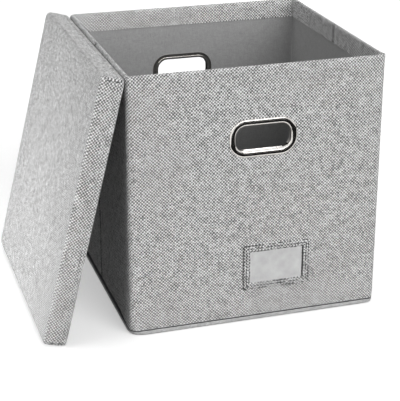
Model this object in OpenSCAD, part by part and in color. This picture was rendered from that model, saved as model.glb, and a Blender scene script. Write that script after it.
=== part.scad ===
// Linen covered storage case for 12 inch records, open, with its lift-off lid leaning on the left wall.
// Millimetres. X runs right, Y runs back, Z runs up. The origin is the middle of the case's foot.

/* [Case] */
// Outer width of the case
case_w = 340; // [330:1:380]
// Outer depth of the case, along the row of records
case_d = 320; // [200:1:380]
// Outer height of the case
case_h = 348; // [340:1:380]
// Outer radius of the upright corners
case_corner_r = 8; // [6.5:0.5:14]
// Height of the bound seam round the foot
welt_h = 6.8; // [4:0.2:8]

/* [Wall] */
// Thickness of the outer linen with its backing
linen_t = 1.2; // [0.8:0.1:1.6]
// Thickness of the stiff board in each wall
board_t = 3.2; // [2.5:0.1:3.6]
// Thickness of the lining cloth
lining_t = 1.0; // [0.6:0.1:1.2]
// Gap between the two half boards of a side wall
fold_gap = 3; // [2:0.5:6]
// Depth of the crease that the fold leaves in the outer linen
crease_depth = 0.6; // [0.2:0.1:0.7]

/* [Handles] */
// Outer width of the handle ring
handle_w = 90; // [80:1:110]
// Outer height of the handle ring
handle_h = 50; // [44:1:60]
// Outer corner radius of the handle ring
handle_r = 22; // [16:0.5:22]
// Width of the ring's flange, from the hole to its outer edge
handle_flange = 8; // [7:0.5:10]
// Height of the handle's middle above the foot
handle_z = 255; // [220:1:290]
// Offset of the handle's middle to the right of the wall's middle
handle_x = 6; // [-10:1:10]

/* [Label pocket] */
// Outer width of the sewn frame
label_w = 91; // [70:1:120]
// Outer height of the sewn frame
label_h = 62; // [50:1:80]
// Width of the frame's border
label_border = 9; // [6:0.5:12]
// Offset of the pocket's middle to the right of the wall's middle
label_x = 27; // [0:1:60]
// Height of the pocket's middle above the foot
label_z = 77; // [50:1:110]

/* [Base board] */
// Side gap between the loose base board and the side linings
base_gap = 1.6; // [1:0.2:4]
// Width of the ribbon that lifts the base board
tab_w = 22; // [15:1:30]
// Length of ribbon that shows on the base board
tab_length = 34; // [24:1:50]

/* [Lid] */
// Outer depth of the lid's tray
lid_h = 30; // [24:1:60]
// Gap between the case and the lid's skirt when the lid is on
lid_clearance = 2.6; // [1.5:0.1:4]
// Outer radius of the lid's upright corners
lid_corner_r = 10; // [8:0.5:14]
// Radius of the edge between the lid's face and its skirt
lid_edge_r = 5; // [4:0.5:6]
// Angle at which the lid leans from the upright
lean_deg = 13.8; // [10:0.2:20]
// Gap between the leaning lid and the wall that it leans on
lean_gap = 0.4; // [0.3:0.1:1]
// Offset of the lid towards the back as it leans
lean_y = 6; // [-10:1:10]

/* [Hidden] */
$fn = 64;

linen_color = "#b4b3b1";
lining_color = "#a3a2a0";
grey_board_color = "#8f8a80";
binding_color = "#9b9a98";
chrome_color = "#d9d6d0";
film_color = "#dcdcda";
ribbon_color = "#6f6e6c";

// The wall's layers, from outside to inside
wall_t = linen_t + board_t + lining_t;
// Half round that the turned-over linen makes on an edge
hem_r = wall_t / 2;
// Seam groove between the cover and the foot's binding
seam_gap = 0.6;
floor_t = linen_t;
// Radii of the binding's lower edge, tucked under, and of its upper edge
welt_tuck_r = 3;
welt_soft_r = 1;

inner_w = case_w - 2 * wall_t;
inner_d = case_d - 2 * wall_t;
wall_top = case_h - hem_r;

// Handle ring: hole, barrel through the wall, washer and rolled end
hole_w = handle_w - 2 * handle_flange;
hole_h = handle_h - 2 * handle_flange;
hole_r = handle_r - handle_flange;
barrel_t = 0.8;
washer_t = 0.8;
washer_width = 6.2;
roll_t = 0.8;
roll_width = 2.6;
inner_lip_r = 2.4;
outer_lip_r = 1.8;

// Label pocket: window film under the frame, open as a slit on the right
frame_t = 1.4;
frame_corner_r = 1.5;
film_t = 0.4;
film_tuck = 4;
slit_w = 1;

// Loose base board and its wrap
base_lift = 0.3;
base_core_t = 3;
wrap_t = 0.8;
base_w = inner_w - 2 * base_gap;
base_d = inner_d - 2 * (washer_t + roll_t + 1);
base_t = base_core_t + 2 * wrap_t;
base_z = floor_t + base_lift;
base_corner_r = 3;
ribbon_t = 0.9;
ribbon_bend_r = 1.6;

// Lid tray, drawn as it sits when on: rim down at z = 0, centred on the origin
lid_w = case_w + 2 * (wall_t + lid_clearance);
lid_d = case_d + 2 * (wall_t + lid_clearance);

// Place of the leaning lid: its lower edge stands on the floor and its upper edge nears the wall
lean_z = (lid_w / 2 - hem_r) * cos(lean_deg) - hem_r * sin(lean_deg) + hem_r;
lean_reach = (lid_w / 2 - hem_r) * sin(lean_deg) - hem_r * cos(lean_deg) + hem_r;
lean_x = -case_w / 2 - lean_gap - lean_reach;

// Flat rectangle with round corners, centred
module rounded_rect(w, d, r) {
    square([w - 2 * r, d], center = true);
    square([w, d - 2 * r], center = true);
    for (sx = [-1, 1], sy = [-1, 1])
        translate([sx * (w / 2 - r), sy * (d / 2 - r)])
            circle(r);
}

// Side of a rounded rectangle, as a frame: the corner centre at the side's far end
module side_frame(w, d, r, side) {
    across = side % 2 == 0 ? w : d;
    along = side % 2 == 0 ? d : w;
    rotate(side * 90)
        translate([across / 2 - r, along / 2 - r, 0])
            children();
}

// Profile swept round a rounded rectangle: its x runs outwards from the corner centres, its y up
module edge_sweep(w, d, r) {
    for (side = [0:3])
        side_frame(w, d, r, side) {
            rotate_extrude(angle = 90)
                children();
            rotate([90, 0, 0])
                linear_extrude((side % 2 == 0 ? d : w) - 2 * r)
                    children();
        }
}

// Room of one side and half of each of its corners, to cut that side from a sweep
module side_wedge(w, d, r, side, height) {
    across = (side % 2 == 0 ? w : d) / 2;
    along = (side % 2 == 0 ? d : w) / 2;
    over = 1;
    rotate(side * 90)
        translate([0, 0, -height])
            linear_extrude(2 * height)
                polygon([
                    [across - r, along - r],
                    [across + over, along + over],
                    [across + over, -along - over],
                    [across - r, r - along]
                ]);
}

// Places on the case: local z points out of the wall, local y points up
module on_front(x, z) {
    translate([x, -case_d / 2, z])
        rotate([90, 0, 0])
            children();
}

module on_back(x, z) {
    rotate(180)
        on_front(x, z)
            children();
}

// Hole through a wall's layers for the handle's barrel
module handle_cut() {
    translate([0, 0, -2 * wall_t])
        linear_extrude(4 * wall_t)
            rounded_rect(hole_w + 2 * barrel_t, hole_h + 2 * barrel_t, hole_r + barrel_t);
}

// Stiff board of a whole wall, its outer face against the linen
module end_board() {
    difference() {
        translate([-case_w / 2 + case_corner_r, -case_d / 2 + linen_t, welt_h])
            cube([case_w - 2 * case_corner_r, board_t, wall_top - welt_h]);
        on_front(handle_x, handle_z)
            handle_cut();
    }
}

// Half board of a side wall, from the fold to the corner
module half_board() {
    translate([case_w / 2 - linen_t - board_t, fold_gap / 2, welt_h])
        cube([board_t, case_d / 2 - case_corner_r - fold_gap / 2, wall_top - welt_h]);
}

module front_board() {
    color(grey_board_color)
        end_board();
}

module back_board() {
    color(grey_board_color)
        rotate(180)
            end_board();
}

module right_rear_board() {
    color(grey_board_color)
        half_board();
}

module right_front_board() {
    color(grey_board_color)
        mirror([0, 1, 0])
            half_board();
}

module left_rear_board() {
    color(grey_board_color)
        mirror([1, 0, 0])
            half_board();
}

module left_front_board() {
    color(grey_board_color)
        rotate(180)
            half_board();
}

// Outer linen sleeve, with the handle holes and the creases of the folding side walls
module case_cover() {
    cover_bottom = welt_h + seam_gap;
    cover_h = wall_top - cover_bottom;
    groove_r = 1.2;
    color(linen_color)
        difference() {
            translate([0, 0, cover_bottom])
                linear_extrude(cover_h)
                    difference() {
                        rounded_rect(case_w, case_d, case_corner_r);
                        rounded_rect(case_w - 2 * linen_t, case_d - 2 * linen_t, case_corner_r - linen_t);
                    }
            on_front(handle_x, handle_z)
                handle_cut();
            on_back(handle_x, handle_z)
                handle_cut();
            for (sx = [-1, 1])
                translate([sx * (case_w / 2 + groove_r - crease_depth), 0, 0])
                    cylinder(h = case_h, r = groove_r);
        }
}

// Lining of one wall: 0 right, 1 back, 2 left, 3 front
module wall_lining(side) {
    intersection() {
        edge_sweep(case_w, case_d, case_corner_r)
            translate([case_corner_r - wall_t, floor_t])
                square([lining_t, wall_top - floor_t]);
        side_wedge(case_w, case_d, case_corner_r, side, case_h);
    }
}

module front_lining() {
    color(lining_color)
        difference() {
            wall_lining(3);
            on_front(handle_x, handle_z)
                handle_cut();
        }
}

module back_lining() {
    color(lining_color)
        difference() {
            wall_lining(1);
            on_back(handle_x, handle_z)
                handle_cut();
        }
}

module right_lining() {
    color(lining_color)
        wall_lining(0);
}

module left_lining() {
    color(lining_color)
        wall_lining(2);
}

// Half round profile of turned-over linen, its flat side up or down, outer face at x = r
module turned_edge(r, up) {
    translate([r - hem_r, 0])
        intersection() {
            circle(hem_r);
            translate([-hem_r, up ? 0 : -hem_r])
                square([2 * hem_r, hem_r]);
        }
}

module rim_binding() {
    color(linen_color)
        translate([0, 0, wall_top])
            edge_sweep(case_w, case_d, case_corner_r)
                turned_edge(case_corner_r, true);
}

// Cloth that closes the bottom, inside the foot's binding
module floor_cloth() {
    inset = linen_t + board_t;
    color(lining_color)
        linear_extrude(floor_t)
            rounded_rect(case_w - 2 * inset, case_d - 2 * inset, case_corner_r - inset);
}

// Wall that rounds over into a flat top, filled, as a half section
module shoulder(x, y, r) {
    square([x - r, y]);
    square([x, y - r]);
    translate([x - r, y - r])
        circle(r);
}

// Binding of the bottom seam: softened at the groove above it and tucked under at the floor
module bottom_welt() {
    width = linen_t + board_t;
    color(binding_color)
        edge_sweep(case_w, case_d, case_corner_r)
            intersection() {
                translate([case_corner_r - width, 0])
                    square([width, welt_h]);
                shoulder(case_corner_r, welt_h, welt_soft_r);
                translate([0, welt_h])
                    mirror([0, 1])
                        shoulder(case_corner_r, welt_h, welt_tuck_r);
            }
}

// Outline of the ring's flange: two lips joined by their common tangent, flat against the linen
module flange_profile() {
    run = handle_flange - inner_lip_r - outer_lip_r;
    tilt = asin((inner_lip_r - outer_lip_r) / run);
    inner_x = inner_lip_r;
    outer_x = handle_flange - outer_lip_r;
    intersection() {
        union() {
            translate([inner_x, 0])
                circle(inner_lip_r);
            translate([outer_x, 0])
                circle(outer_lip_r);
            polygon([
                [inner_x, 0],
                [outer_x, 0],
                [outer_x + outer_lip_r * sin(tilt), outer_lip_r * cos(tilt)],
                [inner_x + inner_lip_r * sin(tilt), inner_lip_r * cos(tilt)]
            ]);
        }
        square([handle_flange, inner_lip_r]);
    }
}

// Whole section of the formed ring: flange outside, barrel through the wall, rolled end inside
module ring_profile() {
    barrel_l = wall_t + washer_t;
    translate([hole_r, 0]) {
        flange_profile();
        translate([0, -barrel_l])
            square([barrel_t, barrel_l]);
        translate([0, -barrel_l - roll_t])
            square([roll_width, roll_t]);
        translate([roll_width, -barrel_l - roll_t / 2])
            circle(roll_t / 2);
    }
}

module handle_ring() {
    color(chrome_color)
        edge_sweep(handle_w, handle_h, handle_r)
            ring_profile();
}

module handle_washer() {
    outer = barrel_t + washer_width;
    color(chrome_color)
        translate([0, 0, -wall_t - washer_t])
            linear_extrude(washer_t)
                difference() {
                    rounded_rect(hole_w + 2 * outer, hole_h + 2 * outer, hole_r + outer);
                    rounded_rect(hole_w + 2 * barrel_t, hole_h + 2 * barrel_t, hole_r + barrel_t);
                }
}

module front_handle_ring() {
    on_front(handle_x, handle_z)
        handle_ring();
}

module front_handle_washer() {
    on_front(handle_x, handle_z)
        handle_washer();
}

module back_handle_ring() {
    on_back(handle_x, handle_z)
        handle_ring();
}

module back_handle_washer() {
    on_back(handle_x, handle_z)
        handle_washer();
}

// Film of the pocket's window: under the frame on three sides, short of it at the slit
module film_plate() {
    window_w = label_w - 2 * label_border;
    window_h = label_h - 2 * label_border;
    translate([-window_w / 2 - film_tuck, -window_h / 2 - film_tuck, 0])
        cube([window_w + film_tuck - slit_w, window_h + 2 * film_tuck, film_t]);
}

module label_frame() {
    color(linen_color)
        on_front(label_x, label_z)
            difference() {
                linear_extrude(frame_t)
                    difference() {
                        rounded_rect(label_w, label_h, frame_corner_r);
                        square([label_w - 2 * label_border, label_h - 2 * label_border], center = true);
                    }
                film_plate();
            }
}

module label_window() {
    color(film_color)
        on_front(label_x, label_z)
            film_plate();
}

module base_board() {
    color(grey_board_color)
        translate([0, 0, base_z + wrap_t])
            linear_extrude(base_core_t)
                rounded_rect(base_w - 2 * wrap_t, base_d - 2 * wrap_t, base_corner_r - wrap_t);
}

// Cloth wrapped round the base board
module base_board_cover() {
    color(lining_color)
        difference() {
            translate([0, 0, base_z])
                linear_extrude(base_t)
                    rounded_rect(base_w, base_d, base_corner_r);
            base_board();
        }
}

// Ribbon folded into a flat loop, sewn down at the base board's right edge
module pull_tab() {
    loop_h = 2 * ribbon_bend_r;
    color(ribbon_color)
        translate([base_w / 2 - 6, 0, base_z + base_t])
            rotate([90, 0, 0])
                translate([0, 0, -tab_w / 2])
                    linear_extrude(tab_w) {
                        translate([-tab_length, 0])
                            square([tab_length, ribbon_t]);
                        translate([-tab_length, loop_h - ribbon_t])
                            square([tab_length - 8, ribbon_t]);
                        translate([-8 - ribbon_t, 0])
                            square([ribbon_t, loop_h]);
                        translate([-tab_length, ribbon_bend_r])
                            difference() {
                                circle(ribbon_bend_r);
                                circle(ribbon_bend_r - ribbon_t);
                                translate([0, -ribbon_bend_r])
                                    square(2 * ribbon_bend_r);
                            }
                    }
}

// Lid pieces are drawn rim down, then leaned against the case's left wall
module leaning() {
    translate([lean_x, lean_y, lean_z])
        rotate([0, lean_deg - 90, 0])
            children();
}

module lid_top_board() {
    color(grey_board_color)
        leaning()
            translate([0, 0, lid_h - linen_t - board_t])
                linear_extrude(board_t)
                    rounded_rect(lid_w - 2 * lid_edge_r, lid_d - 2 * lid_edge_r, lid_corner_r - lid_edge_r);
}

// Skirt board of one side: 0 right, 1 back, 2 left, 3 front
module skirt_board(side) {
    length = (side % 2 == 0 ? lid_d : lid_w) - 2 * lid_corner_r;
    color(grey_board_color)
        leaning()
            side_frame(lid_w, lid_d, lid_corner_r, side)
                translate([lid_corner_r - linen_t - board_t, -length, hem_r])
                    cube([board_t, length, lid_h - lid_edge_r - hem_r]);
}

module lid_right_board() {
    skirt_board(0);
}

module lid_back_board() {
    skirt_board(1);
}

module lid_left_board() {
    skirt_board(2);
}

module lid_front_board() {
    skirt_board(3);
}

// Outer linen of the lid: skirt, rounded edge and flat face
module lid_cover() {
    flat_w = lid_w - 2 * lid_corner_r;
    flat_d = lid_d - 2 * lid_corner_r;
    color(linen_color)
        leaning() {
            edge_sweep(lid_w, lid_d, lid_corner_r)
                difference() {
                    shoulder(lid_corner_r, lid_h, lid_edge_r);
                    shoulder(lid_corner_r - linen_t, lid_h - linen_t, lid_edge_r - linen_t);
                    square([lid_corner_r, hem_r]);
                }
            translate([-flat_w / 2, -flat_d / 2, lid_h - linen_t])
                cube([flat_w, flat_d, linen_t]);
        }
}

// Cloth that lines the inside of the lid
module lid_lining() {
    outer_in = linen_t + board_t;
    color(lining_color)
        leaning()
            difference() {
                translate([0, 0, hem_r])
                    linear_extrude(lid_h - outer_in - hem_r)
                        rounded_rect(lid_w - 2 * outer_in, lid_d - 2 * outer_in, lid_corner_r - outer_in);
                linear_extrude(lid_h - wall_t)
                    rounded_rect(lid_w - 2 * wall_t, lid_d - 2 * wall_t, lid_corner_r - wall_t);
            }
}

// Turned edge of one side of the lid's skirt, mitred at the corners
module skirt_hem(side) {
    color(linen_color)
        leaning()
            translate([0, 0, hem_r])
                intersection() {
                    edge_sweep(lid_w, lid_d, lid_corner_r)
                        turned_edge(lid_corner_r, false);
                    side_wedge(lid_w, lid_d, lid_corner_r, side, hem_r);
                }
}

module lid_right_hem() {
    skirt_hem(0);
}

module lid_back_hem() {
    skirt_hem(1);
}

module lid_left_hem() {
    skirt_hem(2);
}

module lid_front_hem() {
    skirt_hem(3);
}

front_board();
back_board();
left_front_board();
left_rear_board();
right_front_board();
right_rear_board();
case_cover();
front_lining();
back_lining();
left_lining();
right_lining();
rim_binding();
floor_cloth();
bottom_welt();
front_handle_ring();
front_handle_washer();
back_handle_ring();
back_handle_washer();
label_frame();
label_window();
base_board();
base_board_cover();
pull_tab();
lid_top_board();
lid_front_board();
lid_back_board();
lid_left_board();
lid_right_board();
lid_cover();
lid_lining();
lid_front_hem();
lid_back_hem();
lid_left_hem();
lid_right_hem();
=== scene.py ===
from functools import partial
from itertools import product
from math import atan2, copysign, cos, degrees, exp, hypot, pi, radians, sin

import bmesh
import bpy
from mathutils import Matrix, Vector, noise


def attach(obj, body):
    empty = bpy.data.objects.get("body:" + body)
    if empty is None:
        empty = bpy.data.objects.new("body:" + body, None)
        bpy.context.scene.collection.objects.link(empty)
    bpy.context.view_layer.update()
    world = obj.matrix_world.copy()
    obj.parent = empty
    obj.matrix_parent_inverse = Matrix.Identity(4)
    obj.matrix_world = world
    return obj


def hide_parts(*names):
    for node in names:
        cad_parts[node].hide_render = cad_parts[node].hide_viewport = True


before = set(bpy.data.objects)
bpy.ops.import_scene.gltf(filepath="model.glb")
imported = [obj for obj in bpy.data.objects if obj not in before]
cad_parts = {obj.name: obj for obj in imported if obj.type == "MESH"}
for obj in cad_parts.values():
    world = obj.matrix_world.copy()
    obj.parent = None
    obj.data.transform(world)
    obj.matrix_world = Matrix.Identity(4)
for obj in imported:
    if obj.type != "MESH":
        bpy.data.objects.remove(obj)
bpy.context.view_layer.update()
mm = 0.001
tiny = 1e-5
print("frame loaded:", len(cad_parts), "nodes")

# Outline of the case over its cloth (metres)
case = dict(
    width=0.340, depth=0.320, height=0.348, corner=0.008, linen=0.0012, seamLow=0.0068, seamHigh=0.0074,
    tuckHeight=0.016, tuckLeft=0.020, tuckRight=0.012,  # the foot's corners are drawn in by the binding
)
halfWidth, halfDepth = case["width"] / 2, case["depth"] / 2

# Lid: drawn rim down round the origin, then leaned on the left wall
lid = dict(
    width=0.3560, depth=0.3360, height=0.030, corner=0.010, edgeRadius=0.005,
    lean=13.8, place=(-0.212293, 0.006, 0.172296),
)
lidPlace = Matrix.Translation(lid["place"]) @ Matrix.Rotation(radians(lid["lean"] - 90), 4, "Y")


def configure(item, **settings):
    for key, value in settings.items():
        setattr(item, key, value)
    return item


# Modelling helpers

def deselect():
    bpy.ops.object.select_all(action="DESELECT")


def named(name):
    obj = bpy.context.object
    obj.name = obj.data.name = name
    return obj


def newBox(name, size, centre):
    bpy.ops.mesh.primitive_cube_add(size=1, location=centre, scale=size)
    obj = named(name)
    bpy.ops.object.transform_apply(location=True, rotation=True, scale=True)
    return obj


def only(obj):
    deselect()
    obj.select_set(True)
    bpy.context.view_layer.objects.active = obj


def edit(obj):
    only(obj)
    bpy.ops.object.mode_set(mode="EDIT")


def doneEditing():
    bpy.ops.object.mode_set(mode="OBJECT")


def choose(kind, test):
    bpy.ops.mesh.select_mode(type=kind)
    bpy.ops.mesh.select_all(action="DESELECT")
    mesh = bmesh.from_edit_mesh(bpy.context.object.data)
    mesh.normal_update()
    for item in {"VERT": mesh.verts, "EDGE": mesh.edges, "FACE": mesh.faces}[kind]:
        if test(item):
            item.select_set(True)
    mesh.select_flush_mode()
    bmesh.update_edit_mesh(bpy.context.object.data)


def middle(item):
    return sum((v.co for v in item.verts), Vector()) / len(item.verts)


def runsAlong(edge, axis):
    step = edge.verts[1].co - edge.verts[0].co
    return abs(step[axis]) > 0.999 * step.length > 0


def atHeight(edge, z):
    return all(abs(v.co.z - z) < tiny for v in edge.verts)


def selectAll():
    bpy.ops.mesh.select_all(action="SELECT")


def cutPlane(point, normal, **dropped):
    selectAll()
    bpy.ops.mesh.bisect(plane_co=point, plane_no=normal, **dropped)


def roundEdges(radius, steps, *heights):
    choose("EDGE", lambda e: any(atHeight(e, z) for z in heights))
    bevel(radius, steps)


def cutAcross(axis, places):
    normal = Vector([i == axis for i in range(3)])
    for place in places:
        cutPlane(normal * place, normal)


def bevel(radius, steps):
    bpy.ops.mesh.bevel(offset=radius, segments=steps, profile=0.5, affect="EDGES", clamp_overlap=False)


def spaced(low, high, step):
    count = max(1, round((high - low) / step))
    return [low + (high - low) * i / count for i in range(1, count)]


def roundBox(name, width, depth, low, high, radius, segments):
    obj = newBox(name, (width, depth, high - low), (0, 0, (low + high) / 2))
    edit(obj)
    choose("EDGE", lambda e: runsAlong(e, 2))
    bevel(radius, segments)
    return obj


def caseBox(name, inset, low, high, segments=8):
    return roundBox(name, case["width"] - 2 * inset, case["depth"] - 2 * inset, low, high,
                    case["corner"] - inset, segments)


def cutGrid(reachX, reachY, stepX, stepY=None):
    cutAcross(0, spaced(-reachX, reachX, stepX))
    cutAcross(1, spaced(-reachY, reachY, stepY or stepX))


def capLoop(z):
    choose("EDGE", lambda e: atHeight(e, z) and e.is_boundary)
    bpy.ops.mesh.edge_face_add()


def stepInset(inward, rise):
    mesh = bmesh.from_edit_mesh(bpy.context.object.data)
    up = 1 if sum(f.normal.z for f in mesh.faces if f.select) > 0 else -1
    bpy.ops.mesh.inset(thickness=inward, depth=rise * up, use_even_offset=True, use_boundary=True)


def rollOver(radius, turn, steps, towards, height=None):
    # A half or quarter round of insets, from the wall inwards; towards is 1 up and -1 down
    for i in range(steps):
        a, b = turn * i / steps, turn * (i + 1) / steps
        rise = (height or radius) * (sin(b) - sin(a))
        stepInset(radius * (cos(a) - cos(b)), rise * towards)


def pullLoop(rise, steps):
    for _ in range(steps):
        bpy.ops.mesh.extrude_region_move(TRANSFORM_OT_translate={"value": (0, 0, rise / steps)})


def dropFaces():
    bpy.ops.mesh.delete(type="ONLY_FACE")


def dropWhere(test):
    choose("FACE", test)
    dropFaces()


def bridge():
    choose("EDGE", lambda e: e.is_boundary)
    bpy.ops.mesh.bridge_edge_loops()


def openFaces(test, border):
    # Cuts faces back to a border
    choose("FACE", test)
    bpy.ops.mesh.inset(thickness=border, use_even_offset=True)
    dropFaces()


def divide(axis, cuts, longer=0.0):
    choose("EDGE", lambda e: runsAlong(e, axis) and e.calc_length() > longer)
    bpy.ops.mesh.subdivide(number_cuts=cuts)


def outward():
    selectAll()
    bpy.ops.mesh.remove_doubles(threshold=1e-6)
    bpy.ops.mesh.normals_make_consistent(inside=False)


def closeMesh():
    outward()
    doneEditing()


def modify(obj, kind, **settings):
    only(obj)
    modifier = configure(obj.modifiers.new(kind, kind), **settings)
    bpy.ops.object.modifier_apply(modifier=modifier.name)


def thicken(obj, thickness, offset=-1):
    modify(obj, "SOLIDIFY", thickness=thickness, offset=offset, use_even_offset=True)


def smooth(obj, angle=40, place=None):
    if place:
        obj.data.transform(place)
    only(obj)
    bpy.ops.object.shade_smooth_by_angle(angle=radians(angle))
    return obj


def reshape(obj, move):
    for v in obj.data.vertices:
        v.co = move(v.co.copy())
    obj.data.update()


def fromSides(p, body):
    # How far a point lies inside the nearer side, across and in depth
    return body["width"] / 2 - abs(p.x), body["depth"] / 2 - abs(p.y)


def sideward(p, x, y):
    # Straight out through the nearer side
    return Vector((copysign(1, p.x), 0, 0)) if x < y else Vector((0, copysign(1, p.y), 0))


def ripple(p, size, seed=0.0):
    return noise.noise(Vector((p.x / size + seed, p.y / size - seed, p.z / size + 2 * seed)))


def bump(distance, width):
    return exp(-(distance / width) ** 2)


# Cloth coordinates in millimetres, laid along the surface

def layCloth(obj, mapper):
    mesh = obj.data
    layer = mesh.uv_layers.get("cloth") or mesh.uv_layers.new(name="cloth")
    for face in mesh.polygons:
        for i in face.loop_indices:
            u, v = mapper(mesh.vertices[mesh.loops[i].vertex_index].co, face)
            layer.data[i].uv = (u / mm, v / mm)


def finishCloth(obj, mapper, move, angle=40, place=None):
    # Cloth coordinates are laid before the cloth is softened
    layCloth(obj, mapper)
    reshape(obj, move)
    return smooth(obj, angle, place)


def roundWalk(p, face):
    # Distance round the case from the middle of its front, negative on the left
    side = 1 if face.center.x >= 0 else -1
    x, y, radius = p.x * side, p.y, case["corner"]
    straightX, straightY = halfWidth - radius, halfDepth - radius
    quarter = radius * pi / 2
    if y < -straightY and x <= straightX:
        along = x
    elif y < -straightY:
        along = straightX + radius * atan2(x - straightX, -y - straightY)
    elif y <= straightY:
        along = straightX + quarter + y + straightY
    elif x > straightX:
        along = straightX + quarter + 2 * straightY + radius * atan2(y - straightY, x - straightX)
    else:
        along = straightX + 2 * quarter + 2 * straightY + straightX - x
    return along * side


def boxMap(p, face):
    # Plain cloth on a flat or boxy piece: across the plane that the face is nearest to
    x, y, z = (abs(c) for c in face.normal)
    if z >= max(x, y):
        return p.x, p.y
    return (p.x if y >= x else p.y), p.z


# Finishes

def link(tree, a, b):
    tree.links.new(a, b)


def addNode(tree, kind, feeds=None, **settings):
    # A feed is a socket to link from, or a plain value
    node = configure(tree.nodes.new("ShaderNode" + kind), **settings)
    for key, value in (feeds or {}).items():
        if isinstance(value, bpy.types.NodeSocket):
            link(tree, value, node.inputs[key])
        else:
            node.inputs[key].default_value = value
    return node


def mathNode(tree, operation, a, b=None, clamp=False):
    feeds = {i: value for i, value in enumerate((a, b)) if value is not None}
    return addNode(tree, "Math", feeds, operation=operation, use_clamp=clamp).outputs[0]


def arithmetic(tree):
    return [partial(mathNode, tree, word) for word in ("ADD", "SUBTRACT", "MULTIPLY", "DIVIDE")]


def noiseNode(tree, place, scale=1.0, detail=2.0, rough=0.5, space="3D"):
    feeds = {"Vector": place, "Scale": scale, "Detail": detail, "Roughness": rough}
    return addNode(tree, "TexNoise", feeds, noise_dimensions=space)


def remap(tree, value, *limits):
    # limits: lowest and highest going in, then lowest and highest coming out
    return addNode(tree, "MapRange", dict(enumerate((value, *limits)))).outputs[0]


def objectPlace(tree):
    return addNode(tree, "TexCoord").outputs["Object"]


def newGroup(name, inputs):
    # Every pattern takes a place and gives a tone and a height
    tree = bpy.data.node_groups.new(name, "ShaderNodeTree")
    tree.interface.new_socket("Vector", in_out="INPUT", socket_type="NodeSocketVector")
    for label, value in inputs.items():
        tree.interface.new_socket(label, in_out="INPUT", socket_type="NodeSocketFloat").default_value = value
    for label in ("Tone", "Height"):
        tree.interface.new_socket(label, in_out="OUTPUT", socket_type="NodeSocketFloat")
    return tree, tree.nodes.new("NodeGroupInput").outputs, tree.nodes.new("NodeGroupOutput").inputs


# Sizes in millimetres along the cloth
yarn = dict(
    straySize=0.09, strayReach=2.2, rough=0.6, warp=(3.7, 7.31), weft=(18.1, 5.77), beneath=0.5,
    patch=(34, 17), tallSlub=(1.9, 10), wideSlub=(9, 1.9), fibre=2.3, crown=0.7, gapLevel=0.4, gapShade=0.5,
)
# Painted crease shade: where its band lies along the cloth, in millimetres, where its dark core ends, where its
# fade ends, and how much it darkens
fold = dict(place=326.6, core=1.0, edge=5.0, depth=0.65)


def makeWeave():
    # Plain weave of pale warp and darker weft, whose tone drifts along each yarn
    tree, given, result = newGroup("plainWeave", {
        "Pitch": 1.2, "Warp fleck": 6.0, "Weft fleck": 9.0,
        "Heather": 1.0, "Check": 0.3, "Patches": 0.05, "Slubs": 0.0})
    add, subtract, times, over = arithmetic(tree)
    # Threads wander a little, so the grid is never quite even
    stray = noiseNode(tree, given["Vector"], yarn["straySize"], space="2D").outputs["Color"]
    centred = addNode(tree, "VectorMath", {0: stray, 1: (0.5, 0.5, 0.5)}, operation="SUBTRACT").outputs[0]
    small = addNode(tree, "VectorMath", {0: centred, "Scale": yarn["strayReach"]}, operation="SCALE").outputs[0]
    moved = addNode(tree, "VectorMath", {0: given["Vector"], 1: small}, operation="ADD").outputs[0]
    u, v = addNode(tree, "SeparateXYZ", {0: moved}).outputs[:2]
    a, b = over(u, given["Pitch"]), over(v, given["Pitch"])
    threadA, threadB = mathNode(tree, "FLOOR", a), mathNode(tree, "FLOOR", b)

    def drift(x, y, seed, amount, **noiseValues):
        place = addNode(tree, "CombineXYZ", {0: x, 1: y, 2: seed}).outputs[0]
        return times(subtract(noiseNode(tree, place, **noiseValues).outputs[0], 0.5), given[amount])

    def yarnTone(number, along, fleck, values):
        seed, step = values
        return drift(times(number, step), over(along, given[fleck]), seed, "Heather", rough=yarn["rough"])

    def cloud(size, seed, amount, detail=1.0):
        return drift(over(u, size[0]), over(v, size[1]), seed, amount, detail=detail)

    # The thread that lies on top counts most, and the other one shows through
    half = times(given["Check"], 0.5)
    warpYarn = yarnTone(threadA, v, "Warp fleck", yarn["warp"])
    weftYarn = yarnTone(threadB, u, "Weft fleck", yarn["weft"])
    warp = add(add(warpYarn, times(weftYarn, yarn["beneath"])), half)
    weft = subtract(add(weftYarn, times(warpYarn, yarn["beneath"])), half)
    warpOnTop = mathNode(tree, "MODULO", mathNode(tree, "ABSOLUTE", add(threadA, threadB)), 2)

    def showing(weftValue, warpValue):
        return addNode(tree, "Mix", {0: warpOnTop, 2: weftValue, 3: warpValue}, data_type="FLOAT").outputs[0]

    # Slow patches, and slubs where a run of threads is thicker and paler or darker
    slubs = add(cloud(yarn["tallSlub"], 5.0, "Slubs"), cloud(yarn["wideSlub"], 9.0, "Slubs"))
    slow = cloud(yarn["patch"], 0.0, "Patches", 4.0)
    tone = add(add(showing(weft, warp), 0.5), add(slow, slubs))

    # Threads are round and dip where the other one crosses over. As painted shading of that relief, the tone is
    # lightened on the crowns and darkened in the gaps between threads
    def roundness(place, turns):
        return mathNode(tree, "ABSOLUTE", mathNode(tree, "SINE", times(place, turns * pi)))

    crown = showing(times(roundness(b, 2), roundness(a, 1)), times(roundness(a, 2), roundness(b, 1)))
    fibre = noiseNode(tree, given["Vector"], yarn["fibre"]).outputs[0]
    paintedGapShade = times(subtract(yarn["gapLevel"], crown), yarn["gapShade"])
    link(tree, subtract(tone, paintedGapShade), result["Tone"])
    link(tree, add(times(crown, yarn["crown"]), times(fibre, 1 - yarn["crown"])), result["Height"])
    return tree


def makeFlecks():
    # Pressed fibre board: short pale and dark flecks
    tree, given, result = newGroup("pressedFibre", {"Scale": 900.0})
    add, _, times, _ = arithmetic(tree)
    fine = noiseNode(tree, given["Vector"], given["Scale"], 4.0).outputs[0]
    spots = addNode(tree, "TexVoronoi", {"Vector": given["Vector"], "Scale": given["Scale"]}).outputs["Distance"]
    link(tree, add(times(fine, 0.7), times(spots, 0.3), clamp=True), result["Tone"])
    link(tree, fine, result["Height"])
    return tree


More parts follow.
